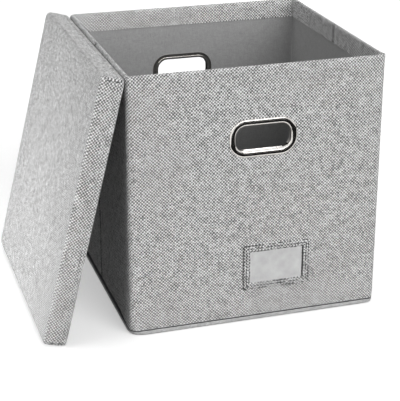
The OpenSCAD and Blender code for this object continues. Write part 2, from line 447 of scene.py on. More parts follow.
weave, flecks = makeWeave(), makeFlecks()


def newFinish(name, roughness, metallic=0.0, **sockets):
    finish = bpy.data.materials.new(name)
    finish.use_nodes = True
    shader = finish.node_tree.nodes["Principled BSDF"]
    shader.inputs["Roughness"].default_value = roughness
    shader.inputs["Metallic"].default_value = metallic
    for label, value in sockets.items():
        shader.inputs[label.replace("_", " ")].default_value = value
    return finish, finish.node_tree, shader


def toneRange(tree, tone, low, high, dark, light, shader):
    # Spreads a tone between two colours, or two greys
    dark, light = ((c,) * 3 if isinstance(c, float) else c for c in (dark, light))
    feeds = {0: remap(tree, tone, low, high), 6: (*dark, 1), 7: (*light, 1)}
    link(tree, addNode(tree, "Mix", feeds, data_type="RGBA").outputs[2], shader.inputs["Base Color"])


def relieve(tree, height, strength, distance, shader):
    relief = addNode(tree, "Bump", {"Height": height, "Strength": strength, "Distance": distance})
    link(tree, relief.outputs[0], shader.inputs["Normal"])


def paintCreaseShade(tree, place, tone):
    # Painted shade: the tone is darkened in a band down the fold line in the middle of the walls that fold, where
    # the crease's shade falls
    side = mathNode(tree, "ABSOLUTE", addNode(tree, "SeparateXYZ", {0: place}).outputs[0])
    away = mathNode(tree, "ABSOLUTE", mathNode(tree, "SUBTRACT", side, fold["place"]))
    return mathNode(tree, "SUBTRACT", tone, remap(tree, away, fold["core"], fold["edge"], fold["depth"], 0.0))


def clothFinish(name, bumpSize, dark, light, sheen=0.15, withCreaseShade=False, **cloth):
    finish, tree, shader = newFinish(name, 0.92, Sheen_Weight=sheen, Sheen_Roughness=0.6, Specular_IOR_Level=0.2)
    place = addNode(tree, "UVMap", uv_map="cloth").outputs[0]
    feeds = {label.replace("_", " "): value for label, value in cloth.items()}
    woven = addNode(tree, "Group", {"Vector": place, **feeds}, node_tree=weave).outputs
    tone = paintCreaseShade(tree, place, woven["Tone"]) if withCreaseShade else woven["Tone"]
    toneRange(tree, tone, -0.08, 1.12, dark, light, shader)
    relieve(tree, woven["Height"], 0.6, bumpSize, shader)
    return finish


# The linen is darkened down the fold lines of the folding walls as painted crease shade
linen = clothFinish("heatheredLinen", 0.0007, 0.06, 0.97, withCreaseShade=True,
                    Pitch=2.12, Warp_fleck=9.0, Weft_fleck=15.0, Heather=1.5, Check=1.05, Patches=0.02, Slubs=1.2)
liningCloth = clothFinish("liningCloth", 0.0002, 0.20, 0.52,
                          Pitch=0.8, Warp_fleck=6.0, Weft_fleck=8.0, Heather=0.8, Check=0.20, Patches=0.08)
bindingCloth = clothFinish("bindingCloth", 0.0003, 0.14, 0.92,
                           Pitch=1.1, Warp_fleck=5.0, Weft_fleck=8.0, Heather=1.3, Check=0.30, Patches=0.10)
ribbonCloth = clothFinish("ribbon", 0.0002, 0.08, 0.28, sheen=0.3,
                          Pitch=0.6, Warp_fleck=30.0, Weft_fleck=30.0, Heather=0.5, Check=0.50, Patches=0.05)


def speckle(tree, scale):
    return addNode(tree, "Group", {"Vector": objectPlace(tree), "Scale": scale}, node_tree=flecks).outputs


def fleckedFinish(name, roughness, scale, tones, colours, also=None, limits=(), metallic=0.0, shine=0.5):
    # Flecks shift the colour and one other socket, or stand up where none is named
    finish, tree, shader = newFinish(name, roughness, metallic, Specular_IOR_Level=shine)
    fleck = speckle(tree, scale)
    toneRange(tree, fleck["Tone"], *tones, *colours, shader)
    if also:
        link(tree, remap(tree, fleck["Tone"], *limits), shader.inputs[also])
    else:
        relieve(tree, fleck["Height"], 0.4, 0.0002, shader)
    return finish


def makeThreadFinish(name, dark, light, sheen=0.2, shine=0.5):
    finish, tree, shader = newFinish(name, 0.7, Sheen_Weight=sheen, Specular_IOR_Level=shine)
    feeds = {"Vector": objectPlace(tree), "Scale": 900.0, "Distortion": 1.0}
    twist = addNode(tree, "TexWave", feeds, bands_direction="DIAGONAL")
    toneRange(tree, twist.outputs["Fac"], 0, 1, dark, light, shader)
    return finish


def makePaperFinish(name, grain, dark, light):
    finish, tree, shader = newFinish(name, 0.9, Specular_IOR_Level=0.0)
    toneRange(tree, noiseNode(tree, objectPlace(tree), grain).outputs[0], 0, 1, dark, light, shader)
    return finish, tree, shader


boardFinish = fleckedFinish("greyBoard", 0.85, 900.0, (0.25, 0.8), ((0.19, 0.175, 0.15), (0.36, 0.34, 0.30)),
                            shine=0.3)
metalFinish = fleckedFinish("polishedNickel", 0.14, 260.0, (0.2, 0.8), ((0.66, 0.63, 0.60), (0.80, 0.78, 0.75)),
                            "Roughness", (0.3, 0.8, 0.07, 0.17), metallic=1.0)
filmFinish = fleckedFinish("clearFilm", 0.3, 90.0, (0.2, 0.8), (0.90, 0.98), "Alpha", (0.2, 0.8, 0.28, 0.40))
threadFinish = makeThreadFinish("greyThread", 0.05, 0.15)
# Near-black finish for dark pieces laid as painted shade: the cord in the groove at the foot and the bars in the
# lid's corner gathers
paintedShadeFinish = makeThreadFinish("paintedShadeCord", 0.02, 0.07, sheen=0.0, shine=0.06)
# Dark thread for the label's stitches, drawn thick so that its rows are also painted shadow along the frame's
# edges and down the card opening
threadAndShadowFinish = makeThreadFinish("darkThreadAndShadow", 0.008, 0.04)
print("finishes ready")


def dress(obj, finish):
    obj.data.materials.clear()
    obj.data.materials.append(finish)


def settle(obj, body, slot, finish, *nodes):
    dress(obj, finish)
    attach(obj, body)
    if nodes:
        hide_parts(*nodes)


# Case: outer cloth, from the seam at the foot up over the rim and down inside

sleeve = dict(
    thick=0.0010, turnUnder=0.0012, roll=0.00295, flapEnd=0.322, columns=42, rows=44,
    creaseDepth=0.0032, creaseWidth=0.0013, wave=0.00022, waveSize=0.06,
    earHeight=0.0011, earWidth=0.006, flapIn=0.0025, rimHeight=0.34, rimCalm=0.4, pinch=0.0005, pinchWidth=0.003,
    creaseCuts=(-0.0036, -0.0018, -0.0008, 0.0008, 0.0018, 0.0036), footCuts=(0.011, 0.0135), straight=0.05,
)
handle = dict(x=0.006, z=0.255, width=0.074, height=0.034, radius=0.014, barrel=0.0008, cut=0.04)
pocket = dict(x=0.027, z=0.077, width=0.091, height=0.062, border=0.009)
frontY = -halfDepth


def insidePocket(p):
    return min(pocket["width"] / 2 - abs(p.x - pocket["x"]), pocket["height"] / 2 - abs(p.z - pocket["z"]))


def depthBehind(p):
    # How far a point lies inside the upright outline of the case
    r = case["corner"]
    x, y = abs(p.x) - halfWidth + r, abs(p.y) - halfDepth + r
    return r - (hypot(x, y) if x > 0 and y > 0 else max(x, y))


def tuckIn(p, extra=None):
    # The corners of the foot are rounder towards the floor
    if p.z >= case["tuckHeight"]:
        return p
    extra = max(0.0, depthBehind(p)) if extra is None else extra
    share = (1 - max(p.z, 0) / case["tuckHeight"]) ** 1.6
    full = case["tuckRight"] if p.x > 0 else case["tuckLeft"]
    radius = case["corner"] + (full - case["corner"]) * share - extra
    cx, cy = halfWidth - radius - extra, halfDepth - radius - extra
    x, y = abs(p.x) - cx, abs(p.y) - cy
    if x > 0 and y > 0:
        reach = hypot(x, y)
        if reach > radius > 0:
            p.x = copysign(cx + x * radius / reach, p.x)
            p.y = copysign(cy + y * radius / reach, p.y)
    return p


def cutHandles(obj, sides=(-1, 1)):
    for side in sides:
        grow = 2 * handle["barrel"]
        cutter = newBox("handleCutter", (handle["width"] + grow, handle["cut"], handle["height"] + grow),
                        (-side * handle["x"], side * halfDepth, handle["z"]))
        edit(cutter)
        choose("EDGE", lambda e: runsAlong(e, 1))
        bevel(handle["radius"] + handle["barrel"], 12)
        doneEditing()
        modify(obj, "BOOLEAN", operation="DIFFERENCE", solver="EXACT", object=cutter)
        bpy.data.objects.remove(cutter, do_unlink=True)


def softenSleeve(p):
    x, y = fromSides(p, case)
    inside = min(x, y) > sleeve["flapIn"]
    direction = sideward(p, x, y)
    sway = -sleeve["wave"] * (0.8 + ripple(p, sleeve["waveSize"], 4.1) + 0.5 * ripple(p, 0.02, 1.3))
    if p.z > sleeve["rimHeight"]:
        sway *= sleeve["rimCalm"]
    if not inside and direction.x:
        sway -= sleeve["creaseDepth"] * bump(p.y, sleeve["creaseWidth"])
    if not inside and direction.y < 0 and p.z < pocket["z"] + pocket["height"]:
        pinch = bump(insidePocket(p) + 0.001, sleeve["pinchWidth"])
        sway -= sleeve["pinch"] * pinch * (0.6 + ripple(p, 0.012, 7.7))
    p += direction * sway
    # A fold of cloth stands up at the front right end of the rim
    ear = Vector((halfWidth - 0.002, -halfDepth + 0.003, case["height"]))
    lift = sleeve["earHeight"] * bump((p - ear).length, sleeve["earWidth"])
    p += Vector((lift * 0.8, -lift * 0.2, lift))
    return tuckIn(p)


def sleeveMap(p, face):
    u, depthIn = roundWalk(p, face), min(fromSides(p, case))
    top = case["height"] - sleeve["roll"]
    if p.z <= top:
        v = p.z if depthIn < sleeve["roll"] else 2 * top + pi * sleeve["roll"] - p.z
    else:
        v = top + sleeve["roll"] * atan2(p.z - top, sleeve["roll"] - depthIn)
    return u, v


def buildSleeve():
    bottom = case["seamHigh"] + sleeve["turnUnder"]
    top = case["height"] - sleeve["roll"]
    obj = caseBox("caseCover", 0, bottom, top)
    dropWhere(lambda f: abs(f.normal.z) > 0.9)
    divide(0, sleeve["columns"], sleeve["straight"])
    divide(1, sleeve["columns"] - 3, sleeve["straight"])
    divide(2, sleeve["rows"])
    cutAcross(1, sleeve["creaseCuts"])
    cutAcross(2, sleeve["footCuts"])
    capLoop(top)
    rollOver(sleeve["roll"], pi, 8, 1)
    pullLoop(sleeve["flapEnd"] - top, 3)
    dropFaces()
    capLoop(bottom)
    rollOver(sleeve["turnUnder"], pi / 2, 4, -1)
    dropFaces()
    closeMesh()
    thicken(obj, sleeve["thick"])
    cutHandles(obj)
    return finishCloth(obj, sleeveMap, softenSleeve)


caseCover = buildSleeve()
settle(caseCover, "case", "linen", linen, "case_cover", "rim_binding")
print("case cover made")

# Case: binding round the foot, and the cloth that closes the bottom

binding = dict(width=0.0044, upperRound=0.0012, lowerRound=0.003, columns=30, wave=0.00015)


def buildBinding():
    obj = caseBox("footBinding", 0, 0, case["seamLow"])
    roundEdges(binding["lowerRound"], 5, 0)
    roundEdges(binding["upperRound"], 3, case["seamLow"])
    for side, edge in ((1, "upperRound"), (-1, "lowerRound")):
        openFaces(lambda f: f.normal.z * side > 0.99, binding["width"] - binding[edge])
    bridge()
    cutGrid(0.16, 0.15, 0.32 / binding["columns"], 0.30 / binding["columns"])
    closeMesh()
    return finishCloth(
        obj, lambda p, face: (roundWalk(p, face), p.z),
        lambda p: tuckIn(p + Vector((0, 0, binding["wave"] * ripple(p, 0.015, 2.2))) * min(1, p.z / 0.004)))


footBinding = buildBinding()
settle(footBinding, "case", "binding", bindingCloth, "bottom_welt")


def buildFloorCloth():
    inset = binding["width"] + 0.0001
    obj = caseBox("floorCloth", inset, 0, case["linen"], 6)
    cutGrid(0.16, 0.15, 0.01)
    closeMesh()

    def sag(p):
        p = tuckIn(p)
        p.z += 0.0001 + 0.00008 * ripple(p, 0.03, 5.1)
        return p

    return finishCloth(obj, boxMap, sag)


# The dark cord in the foot groove is painted shadow: its sizes, and how it widens into a tall band along the
# folding sides
seam = dict(depthIn=0.0002, thick=0.0018, roundness=0.3, grid=0.004, lift=0.0001, wave=0.0002,
            sideHeight=4.4, sideRise=0.0033, sideZone=0.006, proud=0.0004, taper=0.045)


def buildSeamShadowCord():
    # A dark cord in the groove above the binding, painted shadow for the shade down that groove
    z, depthIn, thick = (case["seamLow"] + case["seamHigh"]) / 2 + seam["lift"], seam["depthIn"], seam["thick"]
    obj = caseBox("seamShadowCord", depthIn, z - thick / 2, z + thick / 2)
    for side in (-1, 1):
        openFaces(lambda f: f.normal.z * side > 0.99, thick)
    bridge()
    choose("EDGE", lambda e: (atHeight(e, z - thick / 2) or atHeight(e, z + thick / 2))
           and sum(abs(f.normal.z) for f in e.link_faces) < 1.5)
    bevel(thick * seam["roundness"], 2)
    cutGrid(0.16, 0.15, seam["grid"])
    closeMesh()

    def widen(p):
        # Taller along the sides that fold, where it is a tall dark band of painted shadow for the shaded gap above
        # the binding
        flat = min(1, max(0, (halfDepth - case["corner"] - abs(p.y)) / seam["taper"]))
        onSide = flat * (abs(p.x) > halfWidth - seam["sideZone"])
        p.z = z + (p.z - z) * (1 + (seam["sideHeight"] - 1) * onSide) + seam["sideRise"] * onSide
        p.x += copysign(seam["proud"], p.x) * onSide
        p.z += seam["wave"] * ripple(p, 0.006, 1.9)
        return tuckIn(p, depthIn)

    reshape(obj, widen)
    return smooth(obj, 60)


seamShadowCord = buildSeamShadowCord()
settle(seamShadowCord, "case", "binding", paintedShadeFinish)

floorCloth = buildFloorCloth()
settle(floorCloth, "case", "lining_cloth", liningCloth, "floor_cloth")
print("foot made")

# Case: four linings, one on each wall, meeting in the corners

liner = dict(depthIn=0.0044, thick=0.0005, low=0.0013, high=0.3448, columns=(31, 29), rows=30,
             wave=0.00012, crease=0.0003, creaseWidth=0.0018, creaseCuts=(-0.003, -0.0012, 0.0012, 0.003))


def buildLining(name, side):
    # 0 right, 1 back, 2 left, 3 front
    obj = caseBox(name, liner["depthIn"], liner["low"], liner["high"], 6)
    dropWhere(lambda f: abs(f.normal.z) > 0.9)
    for axis, columns in enumerate(liner["columns"]):
        divide(axis, columns, sleeve["straight"])
    divide(2, liner["rows"])
    folds = side % 2 == 0
    if folds:
        cutAcross(1, liner["creaseCuts"])
    turn = radians(90 * side)
    along = Vector((-sin(turn), cos(turn), 0))
    out = Vector((cos(turn), sin(turn), 0))
    sizes = (case["width"], case["depth"]) if folds else (case["depth"], case["width"])
    half, reach = (size / 2 - case["corner"] for size in sizes)
    for end in (-1, 1):
        cutPlane(out * half + along * reach * end, (along * end - out).normalized(), clear_outer=True)
    cutPlane((0, 0, 0), out, clear_inner=True)
    outward()
    mesh = bmesh.from_edit_mesh(obj.data)
    if sum(f.normal.dot(out) * f.calc_area() for f in mesh.faces) < 0:
        bpy.ops.mesh.flip_normals()
    doneEditing()
    thicken(obj, liner["thick"])
    if not folds:
        cutHandles(obj, (1 if side == 1 else -1,))

    def soften(p):
        sway = liner["wave"] * ripple(p, 0.05, side + 1.7)
        if folds:
            sway += liner["crease"] * bump(p.y, liner["creaseWidth"])
        return tuckIn(p + out * max(0.0, sway))

    return finishCloth(obj, boxMap, soften)


for index, name in enumerate(("right", "back", "left", "front")):
    piece = buildLining(name + "Lining", index)
    settle(piece, "case", "lining_cloth", liningCloth, name + "_lining")
print("linings made")

# Case: label pocket on the front

label = dict(thick=0.0014, corner=0.0015, tuck=0.004, slit=0.001, rows=(0.0007, 0.0044, 0.0082), grid=0.0013,
             valleys=(0.0016, 0.0045, 0.009), valleyWidth=0.0009, sink=0.0007, edgeSink=0.0006, wander=0.0004,
             film=0.0003, filmGrid=0.003, swell=0.0005)


def buildLabelFrame():
    obj = newBox("labelFrame", (pocket["width"], label["thick"], pocket["height"]),
                 (pocket["x"], frontY - label["thick"] / 2, pocket["z"]))
    edit(obj)
    for side in (-1, 1):
        openFaces(lambda f: f.normal.y * side > 0.9, pocket["border"])
    bridge()
    choose("EDGE", lambda e: runsAlong(e, 1) and abs(middle(e).x - pocket["x"]) > 0.04)
    bevel(label["corner"], 3)
    for axis, key, size in ((0, "x", pocket["width"]), (2, "z", pocket["height"])):
        cutAcross(axis, spaced(pocket[key] - size / 2, pocket[key] + size / 2, label["grid"]))
    closeMesh()

    def pucker(p):
        if p.y > frontY - label["thick"] / 2:
            return p
        fromEdge = insidePocket(p)
        rows = sum(bump(fromEdge - place, label["valleyWidth"]) for place in label["valleys"])
        sink = label["sink"] * rows * (0.75 + 0.5 * ripple(p, 0.004, 9.3))
        sink += label["edgeSink"] * bump(fromEdge, 0.0008)
        p.y += min(sink, label["thick"] - 0.0003)
        p.x += label["wander"] * ripple(p, 0.006, 3.3)
        p.z += label["wander"] * ripple(p, 0.006, 6.1)
        return p

    return finishCloth(obj, lambda p, face: (p.x + 0.0031, p.z + 0.0017), pucker, 60)


def buildFilm():
    width = pocket["width"] - 2 * pocket["border"] + label["tuck"] - label["slit"]
    height = pocket["height"] - 2 * pocket["border"] + 2 * label["tuck"]
    left = pocket["x"] - pocket["width"] / 2 + pocket["border"] - label["tuck"]
    obj = newBox("labelFilm", (width, label["film"], height),
                 (left + width / 2, frontY - label["film"], pocket["z"]))
    edit(obj)
    cutAcross(0, spaced(left, left + width, label["filmGrid"]))
    cutAcross(2, spaced(pocket["z"] - height / 2, pocket["z"] + height / 2, label["filmGrid"]))
    closeMesh()

    def swell(p):
        edge = min(width / 2 - abs(p.x - left - width / 2), height / 2 - abs(p.z - pocket["z"]))
        p.y -= label["swell"] * min(1, max(0, edge - label["tuck"]) / 0.010) * (0.7 + 0.6 * ripple(p, 0.02, 4.4))
        return p

    reshape(obj, swell)
    return smooth(obj)


labelFrame = buildLabelFrame()
settle(labelFrame, "case", "linen", linen, "label_frame")
labelFilm = buildFilm()
settle(labelFilm, "case", "clear_film", filmFinish, "label_window")

# Stitches

# How long and thick each kind of stitch is, how far apart they are and how far they stray
hemStitch = dict(length=0.0026, thread=0.00042, pitch=0.0036, sway=0.0002)
# The pocket's rows are thick dark stitches, partly stitching and partly painted shadow along the frame's edges;
# the slit row is painted shadow
pocketStitchAndShadow = dict(length=0.0038, thread=0.0014, pitch=0.0046, sway=0.0008, hidden=0.16, hiddenLeft=0.5)
slitShadowStitch = dict(pitch=0.0024, sway=0.0003)
tabStitch = dict(length=0.002, thread=0.0004, pitch=0.0026, sway=0.0)
# Sizes of the dark bars that paint shade down the corner gathers of the lid
gatherShadeBar = dict(length=0.0056, thread=0.0009, depthIn=0.0008, fan=1.2, rise=0.0004)


def sewRow(name, places, kind, body=None):
    # places: point, direction of the thread, direction out of the cloth
    length, thread = kind["length"], kind["thread"]
    bpy.ops.mesh.primitive_uv_sphere_add(segments=8, ring_count=6, radius=0.5)
    first = bpy.context.object
    edit(first)
    selectAll()
    bpy.ops.transform.rotate(value=pi / 2, orient_axis="Y", center_override=(0, 0, 0))
    bpy.ops.transform.resize(value=(length, thread * 1.5, thread), center_override=(0, 0, 0))
    doneEditing()
    copies = []
    for point, along, out in places:
        side = out.cross(along).normalized()
        twin = first.copy()
        twin.data = first.data.copy()
        basis = Matrix((along.normalized(), side, out.normalized())).transposed().to_4x4()
        twin.matrix_world = Matrix.Translation(point) @ basis
        bpy.context.scene.collection.objects.link(twin)
        copies.append(twin)
    bpy.data.objects.remove(first, do_unlink=True)
    bpy.context.view_layer.update()
    deselect()
    for twin in copies:
        twin.select_set(True)
    bpy.context.view_layer.objects.active = copies[0]
    bpy.ops.object.join()
    obj = named(name)
    bpy.ops.object.transform_apply(location=True, rotation=True, scale=True)
    return smooth(obj, 180, body)


def rowBetween(start, end, out, kind, seed=0.0):
    start, end, out = Vector(start), Vector(end), Vector(out)
    count = max(1, round((end - start).length / kind["pitch"]))
    along = (end - start).normalized()
    side = out.cross(along)
    row = []
    for i in range(count):
        point = start.lerp(end, (i + 0.5) / count)
        sway = kind["sway"] * noise.noise(Vector((i * 0.83 + seed, seed, 0.5)))
        row.append((point + side * sway, along + side * sway * 120, out))
    return row


def rectangle(x0, y0, x1, y1):
    # Its four sides, each as two ends
    corners = [(x0, y0), (x1, y0), (x1, y1), (x0, y1)]
    return zip(corners, corners[1:] + corners[:1])


def buildLabelStitchesAndShadow():
    y = frontY - label["thick"] + 0.0005
    places = []
    # Rows at the frame's outer edge, middle and inner edge are stitching, and the edge rows are also painted
    # shadow along those edges
    for inset in label["rows"]:
        halfW, halfH = pocket["width"] / 2 - inset, pocket["height"] / 2 - inset
        sides = rectangle(pocket["x"] - halfW, pocket["z"] - halfH, pocket["x"] + halfW, pocket["z"] + halfH)
        for i, ((x0, z0), (x1, z1)) in enumerate(sides):
            row = rowBetween((x0, y, z0), (x1, y, z1), (0, -1, 0), pocketStitchAndShadow, i + inset * 1000)
            # Some stitches sink into the cloth and don't show, fewest at the left edge
            hidden = pocketStitchAndShadow["hiddenLeft" if i == 3 else "hidden"]
            places += [s for k, s in enumerate(row) if noise.noise(Vector((k * 0.71, inset * 900, i))) < hidden]
    # A close dark row down the opening that the card slides into, at the right of the window, painted shadow for
    # the opening's shade
    x = pocket["x"] + pocket["width"] / 2 - pocket["border"] + 0.0002
    half = pocket["height"] / 2 - pocket["border"]
    places += rowBetween((x, y, pocket["z"] - half), (x, y, pocket["z"] + half + 0.002), (0, -1, 0), slitShadowStitch)
    return sewRow("labelStitchesAndShadow", places, pocketStitchAndShadow)


labelStitchesAndShadow = buildLabelStitchesAndShadow()
settle(labelStitchesAndShadow, "case", "linen", threadAndShadowFinish)
print("label pocket made")

# Base board: cloth round the board, and its ribbon

baseWrap = dict(width=0.326, depth=0.304, low=0.0015, high=0.0061, corner=0.003, edge=0.0014, cloth=0.0007,
                grid=0.008, wave=0.00012)
ribbon = dict(width=0.022, length=0.034, thick=0.0009, bend=0.0016, fromEdge=0.006,
              sewn=(0.0055, 0.0018), sewnHalf=0.009)


def buildBaseCover():
    c = baseWrap
    obj = roundBox("baseBoardCover", c["width"], c["depth"], c["low"], c["high"], c["corner"], 4)
    roundEdges(c["edge"], 3, c["low"], c["high"])
    cutGrid(c["width"] / 2 - c["corner"], c["depth"] / 2 - c["corner"], c["grid"])
    closeMesh()
    thicken(obj, c["cloth"])
    return finishCloth(obj, boxMap, lambda p: p + Vector((0, 0, c["wave"] * ripple(p, 0.04, 8.8))))


baseBoardCover = buildBaseCover()
settle(baseBoardCover, "base", "lining_cloth", liningCloth, "base_board_cover")


def buildRibbon():
    # A loop of ribbon seen from its edge, drawn as a path and widened
    r, t = ribbon["bend"], ribbon["thick"]
    right = baseWrap["width"] / 2 - ribbon["fromEdge"]
    z = baseWrap["high"] + 0.0001
    far, mid = right - ribbon["length"], r - t / 2
    path = [(right, z + t / 2), (far, z + t / 2)]
    for i in range(1, 8):
        turn = pi * i / 8
        path.append((far - mid * sin(turn), z + r - mid * cos(turn)))
    # The upper layer runs back, slopes down and is sewn to the lower one
    path += [(far, z + 2 * r - t / 2), (right - 0.012, z + 2 * r - t / 2), (right - 0.009, z + 1.35 * r),
             (right - 0.006, z + 1.52 * t), (right - 0.001, z + 1.5 * t)]
    bpy.ops.mesh.primitive_plane_add(size=1)
    obj = named("pullTab")
    edit(obj)
    choose("VERT", lambda v: v.co.x > 0)
    bpy.ops.mesh.delete(type="VERT")
    mesh = bmesh.from_edit_mesh(obj.data)
    for v in mesh.verts:
        v.co = (path[0][0], copysign(ribbon["width"] / 2, v.co.y), path[0][1])
    bmesh.update_edit_mesh(obj.data)
    selectAll()
    for (x0, z0), (x1, z1) in zip(path, path[1:]):
        bpy.ops.mesh.extrude_region_move(TRANSFORM_OT_translate={"value": (x1 - x0, 0, z1 - z0)})
    cutAcross(1, spaced(-0.011, 0.011, 0.0022))
    closeMesh()
    thicken(obj, t * 0.9, 0)
    layCloth(obj, lambda p, face: (p.y, p.x + p.z))
    return smooth(obj)


pullTab = buildRibbon()
settle(pullTab, "base", "ribbon", ribbonCloth, "pull_tab")


def buildTabStitches():
    z = baseWrap["high"] + 2 * ribbon["thick"] + 0.00025
    right = baseWrap["width"] / 2 - ribbon["fromEdge"]
    places = []
    low, high = (right - inset for inset in ribbon["sewn"])
    for start, end in rectangle(low, -ribbon["sewnHalf"], high, ribbon["sewnHalf"]):
        places += rowBetween((*start, z), (*end, z), (0, 0, 1), tabStitch)
    return sewRow("pullTabStitches", places, tabStitch)


pullTabStitches = buildTabStitches()
settle(pullTabStitches, "base", "ribbon", threadFinish)
print("base board made")

# Lid: outer cloth with its turned rim, lining, and the stitched hem

tray = dict(
    thick=0.0010, roll=0.00295, flapEnd=0.016, grid=0.008, hemLine=0.0075, hemSink=0.0007, skirtSink=0.00025,
    wave=0.00035, waveSize=0.075, faceIn=0.004, faceLow=0.024, calm=0.02, inner=0.02, skin=0.0024, hemWidth=0.0011,
    pleatDepth=0.0010, pleatTurn=53, pleatWidth=9, pleatApart=19, valleyTall=0.0045, ridgeTall=0.006,
    gatherHeights=(0.019, 0.009),
    skirtCuts=(0.0045, 0.006, 0.0068, 0.0075, 0.0082, 0.009,
               0.0105, 0.0125, 0.0145, 0.0165, 0.0185, 0.0205, 0.0225),
)


def lidMap(p, face):
    halfW, halfD, h = lid["width"] / 2, lid["depth"] / 2, lid["height"]
    x, y = fromSides(p, lid)
    down = h - p.z
    if min(x, y) > tray["faceIn"] and p.z > tray["inner"]:
        return p.x, p.y
    inner = min(x, y) > tray["roll"]
    along = down if not inner or p.z > tray["inner"] else 2 * h - down + 0.006
    if abs(face.center.x) - halfW > abs(face.center.y) - halfD:
        return copysign(halfW + along, p.x), p.y
    return p.x, copysign(halfD + along, p.y)


def softenLid(p):
    x, y = fromSides(p, lid)
    if p.z > tray["faceLow"] and min(x, y) > tray["faceIn"]:
        calm = min(1, (min(x, y) - tray["faceIn"]) / tray["calm"])
        p.z += tray["wave"] * (ripple(p, tray["waveSize"], 2.6) - 0.4) * (0.4 + 0.6 * calm)
        return p
    if min(x, y) >= tray["skin"]:
        return p
    direction = sideward(p, x, y)
    sway = -tray["skirtSink"] * (0.8 + ripple(p, 0.05, 5.9))
    sway -= tray["hemSink"] * bump(p.z - tray["hemLine"], tray["hemWidth"])
    # Small gathers where the cloth turns the corner
    cx = abs(p.x) - (lid["width"] / 2 - lid["corner"])
    cy = abs(p.y) - (lid["depth"] / 2 - lid["corner"])
    if cx > 0 and cy > 0:
        direction = Vector((copysign(cx, p.x), copysign(cy, p.y), 0)).normalized()
        turn = degrees(atan2(cy, cx)) - tray["pleatTurn"]
        wide, apart = tray["pleatWidth"], tray["pleatApart"]
        for z in tray["gatherHeights"]:
            valley = bump(turn, wide) * bump(p.z - z, tray["valleyTall"])
            ridge = (bump(turn + apart, wide) + bump(turn - apart, wide)) * bump(p.z - z, tray["ridgeTall"])
            sway += tray["pleatDepth"] * (ridge - 0.9 * valley)
    return p + direction * sway


def buildLidCover():
    c = lid
    obj = roundBox("lidCover", c["width"], c["depth"], tray["roll"], c["height"], c["corner"], 12)
    dropWhere(lambda f: f.normal.z < -0.9)
    roundEdges(c["edgeRadius"], 6, c["height"])
    cutGrid(c["width"] / 2 - c["corner"], c["depth"] / 2 - c["corner"], tray["grid"])
    cutAcross(2, tray["skirtCuts"])
    capLoop(tray["roll"])
    rollOver(tray["roll"], pi, 8, -1)
    pullLoop(tray["flapEnd"] - tray["roll"], 3)
    dropFaces()
    closeMesh()
    thicken(obj, tray["thick"])
    return finishCloth(obj, lidMap, softenLid, place=lidPlace)


lidCover = buildLidCover()
settle(lidCover, "lid", "linen", linen,
       "lid_cover", "lid_front_hem", "lid_back_hem", "lid_left_hem", "lid_right_hem")


def buildLidLining():
    inset, low, high = 0.0044, 0.004, 0.0256
    obj = roundBox("lidLining", lid["width"] - 2 * inset, lid["depth"] - 2 * inset, low, high,
                   lid["corner"] - inset, 8)
    dropWhere(lambda f: f.normal.z < -0.9)
    cutGrid(0.17, 0.16, 0.01)
    closeMesh()
    thicken(obj, liner["thick"])
    return finishCloth(
        obj, boxMap, lambda p: p - Vector((0, 0, 0.0003 * (0.5 + ripple(p, 0.05, 3.9)) * (p.z > 0.02))),
        place=lidPlace)


lidLining = buildLidLining()
settle(lidLining, "lid", "lining_cloth", liningCloth, "lid_lining")


def buildLidStitches():
    halfW, halfD, r = lid["width"] / 2 - 0.0009, lid["depth"] / 2 - 0.0009, lid["corner"]
    z = tray["hemLine"]
    places = []
    for side in range(4):
        turn = Matrix.Rotation(radians(90 * side), 3, "Z")
        across, along = (halfW, halfD) if side % 2 == 0 else (halfD, halfW)
        row = rowBetween((across, r - along, z), (across, along - r, z), (1, 0, 0), hemStitch, side)
        places += [tuple(turn @ vector for vector in item) for item in row]
        for i in range(4):
            angle = radians(90 * (i + 0.5) / 4)
            out = Vector((cos(angle), sin(angle), 0))
            point = Vector((across - r, along - r, z)) + out * r
            places.append((turn @ point, turn @ Vector((-out.y, out.x, 0)), turn @ out))
    return sewRow("lidStitches", places, hemStitch, lidPlace)


def buildLidGatherShadeBars():
    # Bars of dark thread down the valley of the gathered cloth at each corner of the skirt, painted shade for the
    # gathers
    halfW, halfD, r = lid["width"] / 2, lid["depth"] / 2, lid["corner"]
    places = []
    for sx, sy, z, step in product((-1, 1), (-1, 1), tray["gatherHeights"], range(-2, 3)):
        angle = radians(tray["pleatTurn"] + gatherShadeBar["fan"] * step)
        out = Vector((sx * cos(angle), sy * sin(angle), 0))
        point = Vector((sx * (halfW - r), sy * (halfD - r), z + gatherShadeBar["rise"] * step)) + out * (r - gatherShadeBar["depthIn"])
        places.append((point, Vector((0, 0, 1)), out))
    return sewRow("lidGatherShadeBars", places, gatherShadeBar, lidPlace)


lidStitches = buildLidStitches()
settle(lidStitches, "lid", "linen", threadFinish)
lidGatherShadeBars = buildLidGatherShadeBars()
settle(lidGatherShadeBars, "lid", "linen", paintedShadeFinish)
print("lid made")

# Handle rings: a domed flange outside, a barrel through the wall and a rolled end inside

ring = dict(
    width=0.090, height=0.050, radius=0.022, flange=0.008, foot=0.0002, dome=0.0022,
    barrel=0.0008, depth=0.0062, rolled=0.0030, endThick=0.0008, segments=12, domeSteps=14, weld=0.00012,
)


